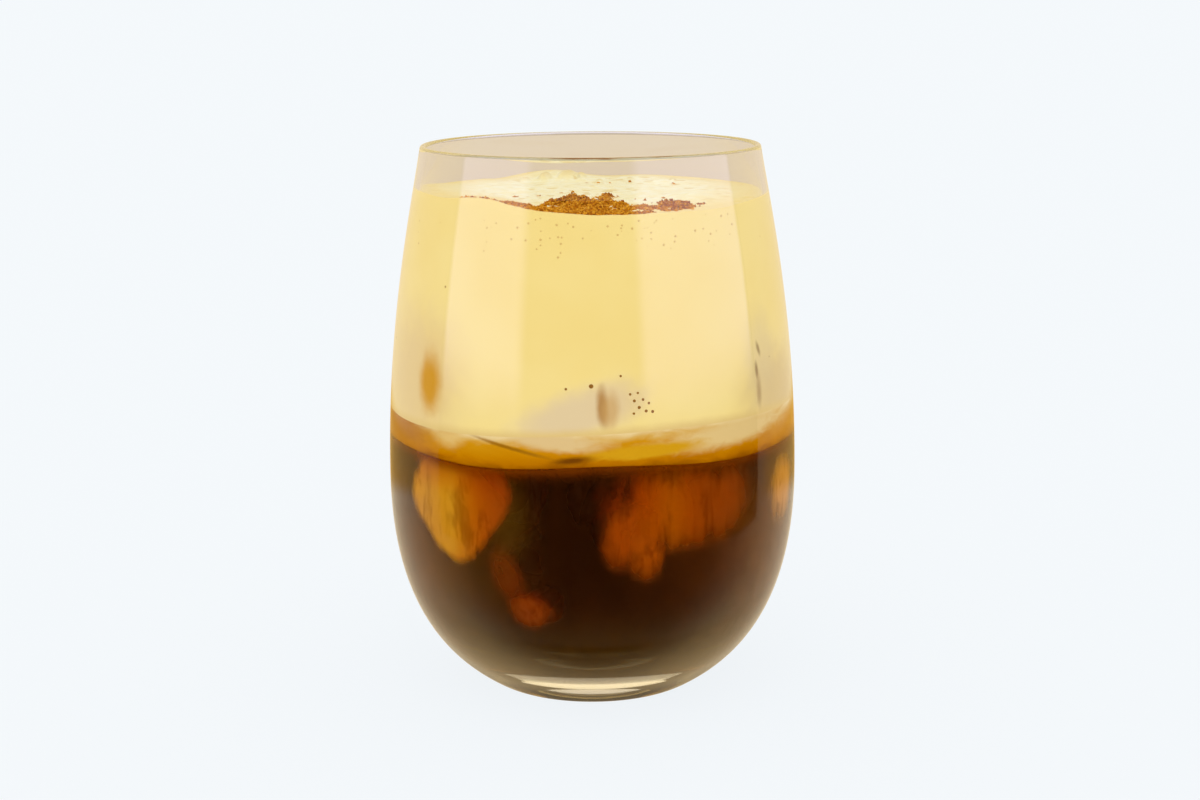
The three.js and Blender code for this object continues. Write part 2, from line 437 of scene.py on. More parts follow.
ring_inner = FOOT_RADIUS - FOOT_RING_WIDTH
punt = curve(
    (0, PUNT_DEPTH),
    (ring_inner * 0.6, PUNT_DEPTH),
    (ring_inner * 0.85, PUNT_DEPTH * 0.4),
    (ring_inner, 0),
    14,
)
foot_corner = curve(
    (FOOT_RADIUS - 1.5, 0),
    (FOOT_RADIUS - 0.7, 0),
    (FOOT_RADIUS - 0.1, 0.05),
    (FOOT_RADIUS + 0.9, 0.58),
    5,
)
outside_bowl = curve(
    (FOOT_RADIUS, 0),
    (FOOT_RADIUS + FOOT_SWEEP[0], FOOT_SWEEP[1]),
    (BELLY_RADIUS, BELLY_HEIGHT - BOWL_FULLNESS),
    (BELLY_RADIUS, BELLY_HEIGHT),
    44,
)[3:]
outside_wall = wall_curve(BELLY_RADIUS, lip_point(lip_turn), 40)[1:]
lip = np.array([lip_point(lip_turn + math.pi * i / 12) for i in range(1, 12)])
glass = turned(
    "glass_shell", np.vstack([punt, foot_corner, outside_bowl, outside_wall, lip, inside_line[::-1]])
)
print("glass:", len(glass.data.polygons), "faces")

# %% [markdown]
# Clear glass bends what is behind it. Lamps have to reach the drink through it, so for their rays and for
# light that is already scattered the wall is a plain pane. Where the drink wets the inside of the wall
# the glass hardly mirrors, so the faces there have a finish of their own. So has the lip, which gathers
# the cream's light from the wall; its glass is tinted darker, painted shade that dulls it to a thin gold
# line.

# %% Finish of the glass
GLASS_TINT = (0.985, 0.972, 0.95, 1.0)
PANE_TINT = tuple(math.sqrt(c) for c in GLASS_TINT[:3]) + (1.0,)
WET_LEVEL = 113.5
LIP_LEVEL = 120.9
# painted shade: the lip's glass is tinted darker than the rest, to dull the cream's light that it carries
LIP_SHADE_TINT = (0.55, 0.53, 0.52, 1.0)


def let_light_in(shader, start, pane):
    """Shadow and diffuse rays pass the surface straight, through a tinted pane."""
    straight = ray(start, "Is Shadow Ray").larger(ray(start, "Is Diffuse Ray"))
    clear = start.node("ShaderNodeBsdfTransparent", {}, {"Color": pane})
    set_surface(shader_mix(straight, Wire(start.tree, shader.outputs[0]), clear))


def glass_finish(name, shade, mirror):
    finish, shader, start = new_finish(name)
    set_on(shader, Base_Color=shade, Roughness=0.0, IOR=1.5, Transmission_Weight=1.0)
    set_on(shader, Specular_Tint=(mirror, mirror, mirror, 1.0))
    let_light_in(shader, start, PANE_TINT)
    return finish


glass.data.materials.append(glass_finish("clear glass", GLASS_TINT, 1.0))
glass.data.materials.append(glass_finish("wetted glass", GLASS_TINT, 0.0))
glass.data.materials.append(glass_finish("lip glass with painted shade", LIP_SHADE_TINT, 1.0))
wetted = 0
for face in glass.data.polygons:
    middle = face.center / MM
    inside = math.hypot(middle.x, middle.y) < np.interp(middle.z, inside_line[:, 1], inside_line[:, 0]) + 0.3
    if inside and FLOOR_THICKNESS - 0.3 < middle.z < WET_LEVEL:
        face.material_index = 1
        wetted += 1
    elif middle.z > LIP_LEVEL:
        face.material_index = 2
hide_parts("glass")
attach(glass, "root")
print("glass finished,", wetted, "faces wetted")

# %% [markdown]
# ## The layers of the drink
#
# Each layer is spun too, and reaches a hair into the wall, so that no air shows between drink and glass.
# The levels between the layers aren't flat: they rise and fall round the glass, so each spun layer is
# then rippled.

# %% Levels and their unevenness
COFFEE_LEVEL = 58.0
CREAM_LEVEL = 65.2
FOAM_LEVEL = 111.2
INTO_WALL = 0.15
COFFEE_WAVE = ((1, 0.3, 2.6), (2, 0.55, 0.7), (5, 0.5, 1.2))
CREAM_WAVE = ((1, 1.4, 0.0), (3, 0.45, 0.9))
# place left-right and back-front, radius, height
FOAM_MOUNDS = (
    (-38, 3, 11, 1.2),
    (-34, -14, 12, 1.2),
    (-22, -30, 9, 1.7),
    (6, -36, 19, -1.2),
    (26, -26, 11, -0.7),
    (-10, 32, 9, 1.2),
    (3, 36, 6, -0.5),
    (-23, 28, 7, -0.6),
    (37, 6, 10, 0.4),
    (-5, 2, 10, 0.5),
    (14, 12, 9, 0.4),
)


def wall_radius(height):
    return np.interp(height, inside_line[:, 1], inside_line[:, 0]) + INTO_WALL


def wave_rise(waves, x, y):
    angle = np.arctan2(x, -y)
    reach = np.minimum(np.hypot(x, y) / BELLY_RADIUS, 1.0)
    return reach * sum(rise * np.sin(turns * angle + phase) for turns, rise, phase in waves)


def coffee_rise(x, y):
    return wave_rise(COFFEE_WAVE, x, y)


def cream_rise(x, y):
    return wave_rise(CREAM_WAVE, x, y)


def foam_rise(x, y):
    rise = np.zeros_like(x)
    for mx, my, radius, height in FOAM_MOUNDS:
        rise = rise + height * np.exp(-((x - mx) ** 2 + (y - my) ** 2) / radius**2)
    return rise


def still(x, y):
    return np.zeros_like(x)


def points_of(piece):
    """The piece's points, in millimetres."""
    flat = np.empty(len(piece.data.vertices) * 3)
    piece.data.vertices.foreach_get("co", flat)
    return flat.reshape(-1, 3) / MM


def mark(piece, name, values):
    """A number for each point of the piece, for its finish to read."""
    piece.data.attributes.new(name, "FLOAT", "POINT").data.foreach_set("value", values.astype(np.float32))


def marked(start, name):
    return start.node("ShaderNodeAttribute", {"attribute_name": name}, {}, output="Fac")


def set_points(piece, points):
    piece.data.vertices.foreach_set("co", (points * MM).ravel())
    piece.data.update()


def ripple(piece, low, low_rise, high, high_rise):
    """Moves a spun layer's points with the levels below and above it, and keeps its side in the wall."""
    x, y, z = points_of(piece).T
    share = np.clip((z - low) / (high - low), 0.0, 1.0)
    lifted = z + (1 - share) * low_rise(x, y) + share * high_rise(x, y)
    squeeze = np.where(z >= low, wall_radius(lifted) / wall_radius(z), 1.0)
    set_points(piece, np.column_stack([x * squeeze, y * squeeze, lifted]))
    return share


def side(low, high, count):
    heights = np.linspace(low, high, count + 1)
    return np.column_stack([wall_radius(heights), heights])


def level(height, from_radius, to_radius, count):
    radii = np.linspace(from_radius, to_radius, count + 1)
    return np.column_stack([radii, np.full_like(radii, height)])


print("levels:", COFFEE_LEVEL, CREAM_LEVEL, FOAM_LEVEL)

# %% [markdown]
# The coffee is clear and dark: light that goes into it comes back amber from a few millimetres down and
# not at all from the middle. So it is a liquid that takes light away along the ray's whole path, blue
# first and red last. Seen through the foot at a flat angle its underside is a mirror, which makes the
# bright line round the base.

# %% Coffee
TUCK = 0.4


def bowl_line(outward):
    """The inside of the bowl, moved out into the wall or, where negative, in from it."""
    along = np.gradient(inside_bowl, axis=0)
    along /= np.linalg.norm(along, axis=1)[:, None]
    line = inside_bowl + outward * np.column_stack([along[:, 1], -along[:, 0]])
    line[0, 0] = 0.0
    return line


coffee_radius = wall_radius(COFFEE_LEVEL)
coffee = turned(
    "coffee_body",
    np.vstack([
        bowl_line(INTO_WALL)[:-1],
        side(BELLY_HEIGHT, COFFEE_LEVEL, 8),
        level(COFFEE_LEVEL + TUCK, coffee_radius - 1.0, 0.0, 16),
    ]),
)
ripple(coffee, BELLY_HEIGHT * 0.6, still, COFFEE_LEVEL, coffee_rise)

COFFEE_DARKNESS = 2000.0
COFFEE_HUE = (0.93, 0.78, 0.06, 1.0)
UNDERSIDE = 0.4
UNDERSIDE_MIRROR = (0.6, 0.62, 0.72, 1.0)


def fill(start):
    """Gives the finish a dark body that takes light away along the ray's path."""
    dark = start.node("ShaderNodeVolumeAbsorption", {}, {"Color": COFFEE_HUE, "Density": COFFEE_DARKNESS})
    start.tree.links.new(dark.socket, start.tree.nodes["Material Output"].inputs["Volume"])


coffee_finish, coffee_shader, start = new_finish("black coffee")
set_on(coffee_shader, Base_Color=(1, 1, 1, 1), Roughness=0.0, IOR=1.33, Transmission_Weight=1.0)
set_on(coffee_shader, Specular_Tint=(0.0, 0.0, 0.0, 1.0))
let_light_in(coffee_shader, start, (1, 1, 1, 1))
fill(start)
coffee.data.materials.append(coffee_finish)

mirror_finish, mirror_shader, start = new_finish("underside of the coffee")
set_on(mirror_shader, Base_Color=UNDERSIDE_MIRROR, Metallic=1.0, Roughness=0.02)
let_light_in(mirror_shader, start, (1, 1, 1, 1))
fill(start)
coffee.data.materials.append(mirror_finish)
for face in coffee.data.polygons:
    face.material_index = int(face.center.z < (FLOOR_THICKNESS + UNDERSIDE) * MM)
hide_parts("coffee")
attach(coffee, "root")
print("coffee:", len(coffee.data.polygons), "faces")

# %% [markdown]
# ## Stains at the wall
#
# Ice that touches the glass, tongues of coffee in the cream and threads of cream in the amber all show at
# the wall as soft patches. Each is an ellipse on the unrolled wall, given by its angle from the front,
# its height, its half width and half height in millimetres and its turn, with a wobbly edge.

# %% Soft patches on the wall
WALL_RADIUS = 44.5
LIGHT_THROUGH = (0.97, 0.955, 0.93)


def behind_glass(red, green, blue):
    """The paint that looks like this colour once the glass has tinted it."""
    return tuple(min(c / k, 0.97) for c, k in zip(tint(red, green, blue), LIGHT_THROUGH)) + (1.0,)


class Wall:
    """The unrolled wall of a layer, in millimetres, as wires: across from the front, and up."""

    def __init__(self, start, wobble):
        self.coords, self.x, self.y, self.up = place_on_piece(start)
        self.across = self.x.math("ARCTAN2", self.x, 0.0 - self.y) * WALL_RADIUS
        self.wobble = wobble

    def noise(self, scale, detail=3.0, stretch=(1.0, 1.0, 1.0), distortion=0.0):
        """Noise from -0.5 to 0.5 with lumps of about so many to the millimetre."""
        spread = {"Vector": self.coords, "Scale": tuple(scale * 1000.0 * c for c in stretch)}
        place = self.x.node("ShaderNodeMapping", {}, spread)
        pattern = {"Vector": place, "Scale": 1.0, "Detail": detail, "Distortion": distortion}
        return self.x.node("ShaderNodeTexNoise", {}, pattern) - 0.5

    def patch(self, angle, height, half_width, half_height, turn=0.0, soft=0.4):
        """1 inside the ellipse, 0 outside, with a soft and uneven edge."""
        u = self.across - math.radians(angle) * WALL_RADIUS
        v = self.up - height
        c, s = math.cos(math.radians(turn)), math.sin(math.radians(turn))
        along = (u * c + v * s) / half_width
        over = (v * c - u * s) / half_height
        reach = (along * along + over * over).root() + self.wobble
        return 1.0 - reach.smooth(1.0 - soft, 1.0 + soft)


print("patches ready")

# %% [markdown]
# The coffee isn't quite clear: a trace of cream clouds it, brown in the middle and olive at the bottom. Just
# under the layer above it turns amber and thicker, a painted glow of the light that the amber band sends down
# into the coffee. A skin a third of a millimetre behind the glass carries that cloud, that painted glow and
# the painted shade of one ice lump's side. It is nearly see-through, and its opacity changes from place to
# place.

# %% Cloud in the coffee
CLOUD_IN = 0.35
# angle, height, half width, half height, turn, softness, opacity, colour
CLOUD_PATCHES = (
    # the first row is painted shade: the shaded right face of the ice lump on the left
    (-24, 47.0, 5.0, 8.5, 4, 0.8, 0.07, (205, 165, 105)),
    (-44, 34, 16, 10, 0, 0.8, 0.07, (215, 160, 90)),
    (48, 42, 20, 16, 0, 0.8, 0.09, (200, 120, 40)),
    (-66, 36, 14, 18, 0, 0.8, 0.1, (225, 160, 80)),
    (66, 36, 14, 18, 0, 0.8, 0.1, (225, 160, 80)),
)

cloud = turned(
    "coffee_cloud_and_painted_glow",
    np.vstack([
        bowl_line(-CLOUD_IN)[:-1],
        side(BELLY_HEIGHT, COFFEE_LEVEL, 12) - (INTO_WALL + CLOUD_IN, 0.0),
        level(COFFEE_LEVEL, coffee_radius - INTO_WALL - CLOUD_IN, 0.0, 16)[1:],
    ]),
)
ripple(cloud, BELLY_HEIGHT * 0.6, still, COFFEE_LEVEL, coffee_rise)
x, y, z = points_of(cloud).T
mark(cloud, "below_top", COFFEE_LEVEL + coffee_rise(x, y) - z)

cloud_finish, cloud_shader, start = new_finish("cream trace and painted glow")
wall = Wall(start, 0.0)
wall.wobble = wall.noise(0.2) * 0.6
streaks = wall.noise(0.35, detail=4.0, stretch=(1.0, 1.0, 0.12))
colour = wall.up.smooth(30.0, 8.0).blend(tint(178, 102, 32), tint(212, 180, 106))
opacity = 0.052 + 0.06 * streaks + 0.07 * wall.up.smooth(40.0, 9.0)
for angle, up, half_width, half_height, turn, soft, strength, shade in CLOUD_PATCHES:
    patch = wall.patch(angle, up, half_width, half_height, turn, soft)
    colour = patch.blend(colour, tint(*shade))
    opacity = opacity + strength * patch
# painted light: just under the amber band the skin turns amber and thicker, a glow standing in for the light
# the band sends down into the coffee
glow = 1.0 - (marked(start, "below_top") + 1.2 * wall.wobble).smooth(-1.0, 4.5)
feed(glow.smooth(0.0, 0.5).blend(colour, tint(150, 82, 0)), cloud_shader, "Base Color")
feed(opacity + 0.9 * glow * glow, cloud_shader, "Alpha")
set_on(cloud_shader, Roughness=0.6, Specular_IOR_Level=0.0)
cloud.data.materials.append(cloud_finish)
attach(cloud, "root")
print("cloud:", len(cloud.data.polygons), "faces,", len(CLOUD_PATCHES), "patches")

# %% [markdown]
# The band between coffee and cream is cloudy. It goes from brown at the coffee through amber to a pale
# tan under the cream, in tongues and swirls that run round the glass.

# %% Amber layer
amber = turned(
    "amber_band",
    np.vstack([
        level(COFFEE_LEVEL, 0.0, wall_radius(COFFEE_LEVEL), 16)[:-1],
        side(COFFEE_LEVEL, CREAM_LEVEL, 14),
        level(CREAM_LEVEL + TUCK, wall_radius(CREAM_LEVEL) - 1.0, 0.0, 16),
    ]),
)
height_share = ripple(amber, COFFEE_LEVEL, coffee_rise, CREAM_LEVEL, cream_rise)
mark(amber, "layer_height", height_share)
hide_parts("amber_layer")
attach(amber, "root")
print("amber band:", len(amber.data.polygons), "faces")

# %% Finish of the amber layer
# angle, height, half width, half height, turn, softness, colour
AMBER_PATCHES = (
    (-10, 63.9, 9.5, 1.7, -4, 0.5, (226, 192, 132)),
    (-43, 63.2, 4.0, 2.2, 0, 0.7, (228, 188, 112)),
    (42, 63.6, 17.0, 2.3, 3, 0.5, (228, 194, 128)),
    (-70, 62.0, 14.0, 4.0, 0, 0.6, (178, 108, 0)),
    (15, 61.8, 12.0, 1.4, 3, 0.4, (214, 156, 22)),
    (-22, 62.2, 7.5, 0.35, -11, 0.8, (160, 104, 12)),
    (-5, 60.2, 3.6, 0.7, 6, 0.7, (118, 64, 4)),
)

amber_finish, amber_shader, start = new_finish("amber mix")
wall = Wall(start, 0.0)
wall.wobble = wall.noise(0.25, stretch=(1.0, 1.0, 2.5), distortion=1.0) * 0.9
swirl = wall.noise(0.09, detail=4.0, stretch=(1.0, 1.0, 2.5), distortion=1.2)
mixed = marked(start, "layer_height") + 0.5 * swirl
colour = start.node(
    "ShaderNodeValToRGB",
    {"stops": [
        (0.0, behind_glass(150, 84, 0)),
        (0.15, behind_glass(186, 112, 0)),
        (0.35, behind_glass(200, 128, 1)),
        (0.68, behind_glass(210, 144, 14)),
        (0.85, behind_glass(220, 172, 84)),
        (1.0, behind_glass(236, 206, 144)),
    ]},
    {"Fac": mixed},
)
for angle, up, half_width, half_height, turn, soft, shade in AMBER_PATCHES:
    patch = wall.patch(angle, up, half_width, half_height, turn, soft)
    colour = patch.blend(colour, behind_glass(*shade))
feed(colour, amber_shader, "Base Color")
set_on(amber_shader, Roughness=0.4, Specular_IOR_Level=0.0)
amber.data.materials.append(amber_finish)
print("amber patches:", len(AMBER_PATCHES))

# %% [markdown]
# ## Egg cream
#
# The egg cream is whipped yolk and condensed milk: smooth and buttery at the glass, a paler lumpy foam on
# top, with burst bubbles in it. The bubbles are pressed into the spun top one by one, shallow pits with a
# soft rim. A few large ones at the back are still whole and stand up as domes.

# %% Shape of the cream
FOAM_EDGE = 0.3
FOAM_SEED = 5
FOAM_LUMPS = 150
# the whipped humps on top of the broad mounds: place, radius, height
FOAM_HUMPS = ((-8, 25, 8, 1.2), (11, 25, 7, 0.7), (-25, 18, 6, 0.5), (24, 14, 6, 0.5))
FOAM_BUBBLES = 220
# place, radius and height of the large bubbles at the back, which stand up as domes
LARGE_BUBBLES = (
    (-15.3, 20, 1.1, 0.8),
    (-10.7, 20, 1.6, 1.5),
    (-5.3, 21, 2.5, 1.6),
    (-2.2, 23, 1.2, 1.0),
    (9.0, 20, 0.8, 0.5),
    (19.0, 15, 0.9, 0.5),
    (2.0, 17, 0.9, 0.6),
)

shoulder = FOAM_LEVEL - FOAM_EDGE
flat_radius = wall_radius(FOAM_LEVEL) - FOAM_EDGE
edge = [
    (flat_radius + FOAM_EDGE * math.cos(a), shoulder + FOAM_EDGE * math.sin(a))
    for a in np.linspace(0.0, math.pi / 2, 6)[1:-1]
]
cream = turned(
    "cream_body",
    np.vstack([
        level(CREAM_LEVEL, 0.0, wall_radius(CREAM_LEVEL), 16)[:-1],
        side(CREAM_LEVEL, shoulder, 30),
        edge,
        level(FOAM_LEVEL, flat_radius, 0.0, 90),
    ]),
    steps=320,
)
on_top = points_of(cream)[:, 2] > FOAM_LEVEL - 0.01
ripple(cream, CREAM_LEVEL, cream_rise, FOAM_LEVEL, foam_rise)


def scattered(draw, reach, small, large):
    """A place on the foam, drawn evenly, and a size, more often small than large."""
    away = reach * math.sqrt(draw.random())
    angle = draw.uniform(-math.pi, math.pi)
    return away * math.sin(angle), away * math.cos(angle), small + (large - small) * draw.random() ** 3


def raise_lumps(points, draw):
    rows = list(FOAM_HUMPS)
    for _ in range(FOAM_LUMPS):
        row = scattered(draw, flat_radius - 2.0, 1.5, 5.0)
        rows.append((*row, draw.uniform(-0.08, 0.12) * row[2]))
    for lx, ly, radius, height in rows:
        away = np.hypot(points[:, 0] - lx, points[:, 1] - ly) / radius
        points[:, 2] += np.where(on_top, height * np.exp(-(away**2)), 0.0)


def raise_domes(points, rows):
    """Whole bubbles on the top. Gives how far in a bubble each point lies, from 0 to 1."""
    inside = np.zeros(len(points))
    for bx, by, radius, height in rows:
        away = np.hypot(points[:, 0] - bx, points[:, 1] - by) / radius
        dome = np.where(on_top, np.sqrt(np.clip(1.0 - away**2, 0.0, 1.0)), 0.0)
        points[:, 2] += height * dome
        inside = np.maximum(inside, np.clip(dome * 1.2 - 0.2, 0.0, 1.0))
    return inside


def press_bubbles(points, rows):
    """Pits with raised rims in the top. Gives how far in a bubble each point lies, from 0 to 1."""
    inside = np.zeros(len(points))
    for bx, by, radius, depth in rows:
        away = np.hypot(points[:, 0] - bx, points[:, 1] - by) / radius
        pit = np.clip(1.0 - away**2, 0.0, 1.0)
        rim = np.exp(-(((away - 1.1) / 0.22) ** 2))
        points[:, 2] += np.where(on_top, depth * (0.35 * rim - pit), 0.0)
        inside = np.maximum(inside, np.where(on_top, np.clip((1.05 - away) / 0.3, 0.0, 1.0), 0.0))
    return inside


draw = random.Random(FOAM_SEED)
points = points_of(cream)
raise_lumps(points, draw)
small_bubbles = [scattered(draw, flat_radius - 1.0, 0.4, 1.6) for _ in range(FOAM_BUBBLES)]
in_bubble = press_bubbles(points, [(*row, 0.2 * row[2]) for row in small_bubbles])
in_bubble = np.maximum(in_bubble, raise_domes(points, LARGE_BUBBLES))
set_points(cream, points)
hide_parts("egg_cream")
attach(cream, "root")
print("cream:", len(cream.data.polygons), "faces,", FOAM_BUBBLES + len(LARGE_BUBBLES), "bubbles")

# %% [markdown]
# Three lumps of ice lie against the glass inside the cream. They show as greyish hazy places with a core
# of amber or brown where coffee clings to the ice.

# %% Finish of the cream
# angle, height, half width, half height, turn, softness, strength, colour
CREAM_PATCHES = (
    (-60, 74.0, 14.0, 13.0, 0, 0.7, 0.7, (226, 194, 142)),
    (-50, 74.5, 4.2, 8.0, 0, 0.8, 0.25, (216, 168, 90)),
    (-51, 73.5, 3.3, 5.4, 2, 0.6, 1.0, (210, 146, 0)),
    (-4, 69.5, 13.0, 4.6, 20, 0.55, 0.85, (226, 200, 158)),
    (7, 72.0, 5.0, 4.0, 0, 0.6, 0.5, (226, 196, 146)),
    (3.0, 71.2, 1.1, 3.8, 3, 0.6, 0.85, (176, 122, 50)),
    (5.2, 70.6, 1.6, 3.4, -4, 0.6, 0.7, (206, 160, 92)),
    (65, 70.0, 12.0, 8.5, 0, 0.7, 0.75, (214, 182, 128)),
    (56, 79.0, 5.0, 8.0, 0, 0.7, 0.5, (220, 194, 146)),
    (54.5, 80.0, 0.5, 1.4, 20, 0.7, 0.8, (150, 118, 70)),
    (53.0, 75.6, 0.5, 1.6, 4, 0.7, 0.8, (146, 112, 66)),
    (53.6, 71.0, 0.8, 3.0, 0, 0.8, 0.7, (172, 136, 86)),
)

cream_finish, cream_shader, start = new_finish("egg cream")
wall = Wall(start, 0.0)
wall.wobble = wall.noise(0.3) * 0.5
drift = wall.noise(0.06, detail=2.0)
colour = drift.smooth(-0.2, 0.2).blend(behind_glass(246, 217, 132), behind_glass(248, 221, 140))
for angle, up, half_width, half_height, turn, soft, strength, shade in CREAM_PATCHES:
    patch = wall.patch(angle, up, half_width, half_height, turn, soft) * strength
    colour = patch.blend(colour, behind_glass(*shade))
hem = (marked(start, "above_amber") + 1.5 * wall.wobble).smooth(2.2, -0.3)
colour = hem.blend(colour, behind_glass(228, 194, 120))
froth = wall.noise(0.5, detail=3.0).smooth(-0.15, 0.15).blend(tint(252, 240, 186), tint(255, 248, 210))
# painted shade: the foam is darker inside the bubbles, where their hollows lie in shade
froth = (marked(start, "in_bubble") * 0.8).blend(froth, tint(232, 206, 138))
dusted = (marked(start, "cocoa_dust") + 0.5 * wall.noise(1.2)).smooth(0.35, 0.75)
froth = dusted.blend(froth, tint(206, 138, 36))
feed(marked(start, "foam_share").blend(colour, froth), cream_shader, "Base Color")
set_on(cream_shader, Roughness=0.5, Specular_IOR_Level=0.1)
cream.data.materials.append(cream_finish)
print("cream patches:", len(CREAM_PATCHES))

# %% [markdown]
# ## Cocoa
#
# The cocoa is powder: thousands of crumbs in ragged little heaps, thick in the middle and scattered at
# the edges. One crumb is an eight-sided grain. The heaps and their crumbs are drawn from a seeded list,
# and the crumbs are turned, laid on the foam and joined in one mesh. Under them the foam itself is
# stained brown.

# %% Cocoa crumbs
COCOA_SEED = 11
COCOA_CRUMBS = 14000
CRUMB_SCATTER = 0.5
CRUMB_SMALLEST = 0.15
CRUMB_SPREAD = 0.33
HEAP_POINTEDNESS = 2.5
# place, spread left-right and back-front, number of heaps, largest radius, steepness
COCOA_FIELDS = (
    (-3.8, -20.5, 1.4, 2.5, 14, 2.3, 0.9),
    (-1.5, -24, 3.8, 4.0, 48, 2.2, 0.55),
    (-3, -33, 5.0, 1.6, 36, 1.6, 0.3),
    (-13.0, -33.2, 2.4, 0.9, 22, 1.3, 0.25),
    (10, -27, 3.2, 1.6, 30, 1.4, 0.25),
    (8, -34.5, 4.5, 0.8, 22, 1.2, 0.25),
    (18, -24, 1.9, 1.8, 18, 1.8, 0.6),
    (18, -31, 2.2, 0.7, 6, 0.9, 0.3),
    (5, -18, 8.0, 6.0, 16, 0.7, 0.4),
)
# the lines of cocoa along the glass: from and to angle, distance from the axis, heaps, radius
COCOA_LINES = ((-46.0, -24.0, 37.0, 40, 0.26), (-27.0, -10.0, 35.8, 40, 1.2), (-14.0, 16.0, 36.4, 40, 0.8))
# single specks at the back: place and radius
COCOA_SPECKS = ((-0.7, 14, 0.3), (1.8, 13, 0.4), (4.6, 13, 0.3), (9.0, 14, 0.4), (18.7, 10, 0.3))


def cocoa_heaps(draw):
    """Rows of place, radius and height, one for each little heap."""
    rows = []
    for x, y, wide, deep, number, largest, steep in COCOA_FIELDS:
        places = draw.normal((x, y), (wide, deep), (number, 2))
        size = draw.uniform(0.3, 1.0, (number, 1)) * largest
        rows.append(np.hstack([places, size, steep * size]))
    for first, last, reach, number, radius in COCOA_LINES:
        angles = np.radians(np.linspace(first, last, number))
        size = draw.uniform(0.5, 1.0, number) * radius
        rows.append(np.column_stack([np.sin(angles) * reach, -np.cos(angles) * reach, size, 0.3 * size]))
    rows.append([(x, y, radius, radius) for x, y, radius in COCOA_SPECKS])
    heaps = np.vstack(rows)
    return heaps[np.hypot(heaps[:, 0], heaps[:, 1]) < flat_radius - 0.5]


def random_turns(draw, count):
    """Rotation matrices that point every way, from random quaternions."""
    quaternions = draw.normal(size=(4, count))
    w, x, y, z = quaternions / np.linalg.norm(quaternions, axis=0)
    return np.array([
        [1 - 2 * (y * y + z * z), 2 * (x * y - z * w), 2 * (x * z + y * w)],
        [2 * (x * y + z * w), 1 - 2 * (x * x + z * z), 2 * (y * z - x * w)],
        [2 * (x * z - y * w), 2 * (y * z + x * w), 1 - 2 * (x * x + y * y)],
    ]).transpose(2, 0, 1)


def grains(name, centres, sizes, turns):
    """One mesh of eight-sided grains, from arrays in millimetres."""
    corner = np.array([(1, 0, 0), (-1, 0, 0), (0, 1, 0), (0, -1, 0), (0, 0, 1), (0, 0, -1)], float)
    faces = np.array([(0, 2, 4), (2, 1, 4), (1, 3, 4), (3, 0, 4), (2, 0, 5), (1, 2, 5), (3, 1, 5), (0, 3, 5)])
    spread = np.einsum("nij,ncj->nci", turns, corner[None] * sizes[:, None, :])
    points = (spread + centres[:, None, :]).reshape(-1, 3) * MM
    index = (faces[None] + 6 * np.arange(len(centres))[:, None, None]).reshape(-1, 3)
    mesh = bpy.data.meshes.new(name)
    mesh.from_pydata(points.tolist(), [], index.tolist())
    piece = bpy.data.objects.new(name, mesh)
    bpy.context.collection.objects.link(piece)
    return piece


draw = np.random.default_rng(COCOA_SEED)
heaps = cocoa_heaps(draw)
share = heaps[:, 2] ** 2 / (heaps[:, 2] ** 2).sum()
heap = heaps[draw.choice(len(heaps), COCOA_CRUMBS, p=share)]
offset = draw.normal(0.0, CRUMB_SCATTER, (COCOA_CRUMBS, 2))
places = heap[:, :2] + offset * heap[:, 2:3]
slope = np.exp(-(offset**2).sum(axis=1) * HEAP_POINTEDNESS)
rise = heap[:, 3] * slope * draw.uniform(0.2, 1.0, COCOA_CRUMBS)
kept = np.hypot(places[:, 0], places[:, 1]) < flat_radius - 0.4
places, rise = places[kept], rise[kept]
count = len(places)
sizes = CRUMB_SMALLEST + CRUMB_SPREAD * draw.random((count, 1)) ** 2.5
sizes = sizes * draw.uniform(0.6, 1.4, (count, 3))
heights = FOAM_LEVEL + foam_rise(places[:, 0], places[:, 1]) + rise
cocoa = grains("cocoa_crumbs", np.column_stack([places, heights]), sizes, random_turns(draw, count))
mark(cocoa, "crumb_shade", np.repeat(draw.random(count), 6))

# %% [markdown]
# Each crumb is one shade of brown, from dark to a light tan, and the foam keeps for its own finish how
# near each of its points is to a heap, to a bubble, to the glass and to the amber layer; inside the bubbles
# it gets painted shade.

# %% Finish of the cocoa
cocoa_finish, cocoa_shader, start = new_finish("cocoa")
brown = {"stops": [(0.0, tint(160, 90, 0)), (0.5, tint(210, 138, 4)), (1.0, tint(236, 176, 52))]}
brown = start.node("ShaderNodeValToRGB", brown, {"Fac": marked(start, "crumb_shade")})
feed(brown, cocoa_shader, "Base Color")
set_on(cocoa_shader, Roughness=0.85, Specular_IOR_Level=0.1)
cocoa.data.materials.append(cocoa_finish)
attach(cocoa, "root")

points = points_of(cream)
dust = np.zeros(len(points))
for hx, hy, radius, _ in heaps:
    away = np.hypot(points[:, 0] - hx, points[:, 1] - hy) / radius
    dust = np.maximum(dust, np.where(on_top, np.exp(-(away**2) * 0.7), 0.0))
x, y, z = points.T
foam_share = np.where(on_top, np.clip((flat_radius - np.hypot(x, y)) / 15.0, 0.15, 1.0), 0.0)
above_amber = z - CREAM_LEVEL - cream_rise(x, y)
mark(cream, "in_bubble", in_bubble * (1.0 - dust))
mark(cream, "cocoa_dust", dust)
mark(cream, "foam_share", foam_share)
mark(cream, "above_amber", above_amber)
print("cocoa:", count, "crumbs in", len(heaps), "heaps")

# %% [markdown]
# Tiny bubbles sit in the cream where it touches the glass: a group of them in front, low down, and some
# just under the foam. They are small brown beads, sunk in the cream's side.

# %% Bubbles at the wall
WALL_BUBBLE_SEED = 3
